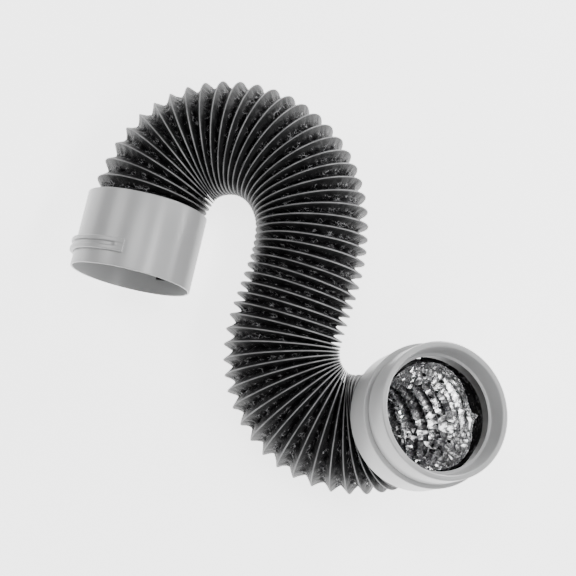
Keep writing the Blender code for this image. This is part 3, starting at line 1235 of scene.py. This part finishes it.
@dataclass
class StraightCoupling:
    """Plain moulded sleeve with a double-bead rail around part of it."""

    route: Route
    radius: float = 0.0580
    length: float = 0.0735
    wall: float = 0.0020
    socket_radius: float = 0.0549
    stop_at: float = 0.0280
    stop_length: float = 0.0030
    stop_radius: float = 0.0490
    edge: float = 0.0009
    rail_rise: float = 0.0043
    rail_width: float = 0.0125
    rail_bead: float = 0.0038
    rail_groove: float = 0.0022
    rail_from_mouth: float = 0.0135
    rail_start: float = 5.0
    rail_slit: float = 0.0005
    rail_end: float = 136.0
    rail_pad: float = 6.0
    rail_steps: int = 96
    rail_points: int = 29
    rail_ease: float = 0.0012
    rail_round: float = 0.0013
    rail_shoulder: float = 0.0011
    rail_floor: float = 0.0004
    rail_inset: float = 0.0008
    lug_width: float = 0.0105
    lug_length: float = 0.0030
    lug_rise: float = 0.0016
    lug_turn: float = -155.7
    lug_inside: float = 0.0175

    def section(self) -> list[Corner]:
        """The sleeve's wall, stop ring and socket.

        Returns:
            Corners of the turned section.
        """
        bore = self.radius - self.wall
        back = self.stop_at + self.stop_length
        return [
            Corner(bore, 0.0),
            Corner(self.radius, 0.0, self.edge),
            Corner(self.radius, self.length, self.edge),
            Corner(bore, self.length, self.edge),
            Corner(bore, back + self.wall, 0.0015),
            Corner(self.stop_radius, back),
            Corner(self.stop_radius, self.stop_at),
            Corner(self.socket_radius, self.stop_at),
            Corner(self.socket_radius, bore - self.socket_radius),
        ]

    def rail_height(self, place: np.ndarray, groove: float) -> np.ndarray:
        """Height of the rail across its width.

        Args:
            place: distance from its lower edge.
            groove: depth of the groove between the beads.

        Returns:
            Height over the sleeve.
        """
        inner = np.clip((place - self.rail_bead) / self.rail_ease, 0.0, 1.0)
        outer = np.clip((self.rail_width - self.rail_bead - place) / self.rail_ease, 0.0, 1.0)
        dip = np.minimum(inner, outer)
        dip = dip * dip * (3.0 - 2.0 * dip)
        near = np.minimum(place, self.rail_width - place)
        edge = np.clip(near / self.rail_round, 0.0, 1.0)
        shoulder = 1.0 - np.sqrt(np.maximum(1.0 - (1.0 - edge) ** 2, 0.0))
        return self.rail_rise - groove * dip - self.rail_shoulder * shoulder

    def add_rail(self, shell: Shell, body: Turned) -> None:
        """Add the rail.

        Args:
            shell: mesh to add to.
            body: the sleeve's axes.
        """
        base = self.length - self.rail_from_mouth - self.rail_width
        foot = self.radius - self.wall / 2.0
        across = np.linspace(0.0, self.rail_width, self.rail_points)
        sections = []
        for k in range(self.rail_steps + 1):
            turn = self.rail_start + (self.rail_end - self.rail_start) * k / self.rail_steps
            fade = min(max((turn - self.rail_start - self.rail_pad) / self.rail_pad, 0.0), 1.0)
            fade = fade * fade * (3.0 - 2.0 * fade)
            groove = self.rail_floor + (self.rail_groove - self.rail_floor) * fade
            angle = np.array([math.radians(90.0 - turn)])
            height = self.radius + self.rail_height(across, groove)
            under = self.radius + self.rail_slit
            inset = np.array([self.rail_inset, self.rail_inset, 0.0])
            radii = np.concatenate([[foot, under, under], height, [under, under, foot]])
            offsets = base + np.concatenate([inset, across, self.rail_width - inset[::-1]])
            sections.append(
                np.concatenate([body.point(r, o, angle) for r, o in zip(radii, offsets)])
            )
        shell.sweep(sections)

    def add_lug(self, shell: Shell, body: Turned) -> None:
        """Add the small moulded lug inside the mouth.

        Args:
            shell: mesh to add to.
            body: the sleeve's axes.
        """
        bore = self.radius - self.wall
        half = math.degrees(self.lug_width / 2.0 / bore)
        turns = np.radians(90.0 - self.lug_turn + np.linspace(-half, half, 7))
        base = self.length - self.lug_inside
        outline = [
            (bore + self.wall / 2.0, base),
            (bore - self.lug_rise, base),
            (bore - self.lug_rise, base + self.lug_length),
            (bore + self.wall / 2.0, base + self.lug_length),
        ]
        sections = []
        for turn in turns:
            angle = np.array([turn])
            sections.append(np.concatenate([body.point(r, o, angle) for r, o in outline]))
        shell.sweep(sections, 1)

    def build(self, plastic: bpy.types.Material, dark: bpy.types.Material) -> bpy.types.Object:
        """Make the sleeve.

        Args:
            plastic: its material.
            dark: material of the lug.

        Returns:
            The sleeve with its rail and lug.
        """
        body = Turned(self.route, 0.0, -1.0)
        shell = Shell()
        body.turn(shell, rounded(self.section()))
        self.add_rail(shell, body)
        self.add_lug(shell, body)
        return shell.build("straight_sleeve", [plastic, dark], sharp=38.0)


@dataclass
class CollarCoupling:
    """Stepped moulded collar: a wide back with a bead, a front with a bowl."""

    route: Route
    radius: float = 0.0622
    length: float = 0.0615
    back_radius: float = 0.0647
    back_length: float = 0.0321
    recess_radius: float = 0.0620
    recess_depth: float = 0.0080
    bead_radius: float = 0.0658
    bead_length: float = 0.0045
    groove_radius: float = 0.0613
    groove_width: float = 0.0013
    lip: float = 0.0052
    lip_round: float = 0.0020
    bowl_depth: float = 0.0173
    ledge: float = 0.0544
    opening: float = 0.0517
    stop_length: float = 0.0030
    socket_radius: float = 0.0569
    shift: Sequence[float] = (0.0013, 0.0016, 0.0)

    def section(self) -> list[Corner]:
        """The collar's wall, bead, groove, rim, bowl, ledge and stop.

        Returns:
            Corners of the turned section.
        """
        bowl = self.length - self.bowl_depth
        shoulder = self.back_length
        neck = shoulder + self.groove_width
        rise = self.bead_radius - self.back_radius
        return [
            Corner(self.recess_radius, 0.0),
            Corner(self.back_radius, 0.0, 0.0008),
            Corner(self.back_radius, shoulder - self.bead_length, 0.0010),
            Corner(self.bead_radius, shoulder - self.bead_length + rise, 0.0012),
            Corner(self.bead_radius, shoulder, 0.0009),
            Corner(self.groove_radius, shoulder + 0.0001),
            Corner(self.groove_radius, neck),
            Corner(self.radius, neck + 0.0009, 0.0008),
            Corner(self.radius, self.length, self.lip_round),
            Corner(self.radius - self.lip, self.length, 0.0016),
            Corner(self.ledge, bowl, 0.0005),
            Corner(self.opening, bowl, 0.0004),
            Corner(self.opening, bowl - 0.0009),
            Corner(self.opening + 0.0025, bowl - self.stop_length),
            Corner(self.socket_radius, bowl - self.stop_length),
            Corner(self.socket_radius, self.recess_depth),
            Corner(self.recess_radius, self.recess_depth),
        ]

    def build(self, plastic: bpy.types.Material) -> bpy.types.Object:
        """Make the collar.

        Args:
            plastic: its material.

        Returns:
            The collar.
        """
        shell = Shell()
        body = Turned(self.route, self.route.length, 1.0)
        body.centre = body.centre + np.array(self.shift)
        body.turn(shell, rounded(self.section(), 5))
        return shell.build("mouth_collar", [plastic], sharp=38.0)


# The studio


@dataclass(frozen=True)
class Softbox:
    """A rectangular soft light that faces a point."""

    name: str
    place: Sequence[float]
    size: Sequence[float]
    power: float
    aim: Sequence[float] = (0.0, 0.0, 0.06)

    def build(self) -> None:
        """Make the light."""
        data = bpy.data.lights.new(self.name, "AREA")
        data.shape = "RECTANGLE"
        data.size, data.size_y = self.size
        data.energy = self.power
        light = bpy.data.objects.new(self.name, data)
        light.location = self.place
        away = Vector(self.place) - Vector(self.aim)
        light.rotation_euler = away.to_track_quat("Z", "Y").to_euler()
        bpy.context.scene.collection.objects.link(light)


@dataclass
class Studio:
    """Floor, soft lights, surroundings and camera."""

    target: Sequence[float] = (-0.00426, -0.00488, 0.0600)
    turn: float = 12.755
    elevation: float = 79.473
    distance: float = 1.5487
    lens: float = 102.06
    sensor: float = 36.0
    floor_size: float = 8.0
    sky: Sequence[float] = (0.04, 0.04, 0.04)
    lights: Sequence[Softbox] = (
        Softbox("softbox_far_top", (-0.1, 0.24, 1.64), (0.55, 0.55), 7.5),
        Softbox("softbox_right", (1.56, 0.33, 0.17), (0.6, 0.26), 13.0),
        Softbox("softbox_left", (-1.17, 0.32, 1.1), (0.6, 0.6), 8.0),
        Softbox("softbox_near", (0.14, -1.52, 0.54), (0.6, 0.6), 11.0),
        Softbox("softbox_low_right", (0.86, 1.28, 0.48), (0.45, 0.4), 22.0),
        Softbox("softbox_strip", (0.77, -0.09, 1.46), (1.3, 0.17), 15.0),
    )

    def build(self) -> None:
        """Set up the whole studio."""
        self.add_floor()
        for light in self.lights:
            light.build()
        self.add_sky()
        self.add_camera()

    def add_floor(self) -> None:
        """Add the pale floor."""
        half = self.floor_size / 2.0
        shell = Shell()
        corners = [(-1.0, -1.0, 0.0), (1.0, -1.0, 0.0), (1.0, 1.0, 0.0), (-1.0, 1.0, 0.0)]
        shell.add_points(np.array(corners) * half)
        shell.add_faces([(0, 1, 2, 3)])
        floor = shell.build("studio_floor", [FloorFinish().build()])

    def add_sky(self) -> None:
        """Light the surroundings evenly."""
        world = bpy.data.worlds.new("studio")
        world.use_nodes = True
        background = world.node_tree.nodes["Background"]
        background.inputs["Color"].default_value = (*self.sky, 1.0)
        background.inputs["Strength"].default_value = 1.0
        bpy.context.scene.world = world

    def add_camera(self) -> None:
        """Look down on the hose from the photograph's side."""
        turn, rise = math.radians(self.turn), math.radians(self.elevation)
        ahead = Vector((-math.sin(turn), math.cos(turn), 0.0))
        right = Vector((math.cos(turn), math.sin(turn), 0.0))
        back = -ahead * math.cos(rise) + Vector((0.0, 0.0, math.sin(rise)))
        up = back.cross(right)
        data = bpy.data.cameras.new("camera")
        data.sensor_width = self.sensor
        data.lens = self.lens
        camera = bpy.data.objects.new("camera", data)
        place = Vector(self.target) + back * self.distance
        rotation = Matrix((right, up, back)).transposed().to_4x4()
        camera.matrix_world = Matrix.Translation(place) @ rotation
        bpy.context.scene.collection.objects.link(camera)
        bpy.context.scene.camera = camera


# Assembly


def fit(piece: bpy.types.Object, node: str, slot: Slot) -> None:
    """Set a piece on the part in place of one of its nodes.

    Args:
        piece: the finished piece.
        node: node that it stands for.
        slot: material slot of the node; not used.
    """
    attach(piece, BODY)
    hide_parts(node)
    LOG.info("%s: %d faces, for %s", piece.name, len(piece.data.polygons), node)


def main() -> None:
    """Build and dress every piece, then set up the studio."""
    logging.basicConfig(level=logging.INFO, format="%(name)s: %(message)s")
    plastic = PlasticFinish().build()
    route = Route()
    jacket = FilmJacket(route)
    fit(jacket.build(FilmFinish().build(), CrestFinish().build()), "hose_jacket", Slot.FILM)
    fit(FoilLiner(route, jacket).build(FoilFinish().build()), "foil_liner", Slot.FOIL)
    sleeve = StraightCoupling(route).build(plastic, LugFinish().build())
    fit(sleeve, "straight_coupling", Slot.PLASTIC)
    fit(CollarCoupling(route).build(plastic), "collar_coupling", Slot.PLASTIC)
    Studio().build()


if __name__ == "__main__":
    main()
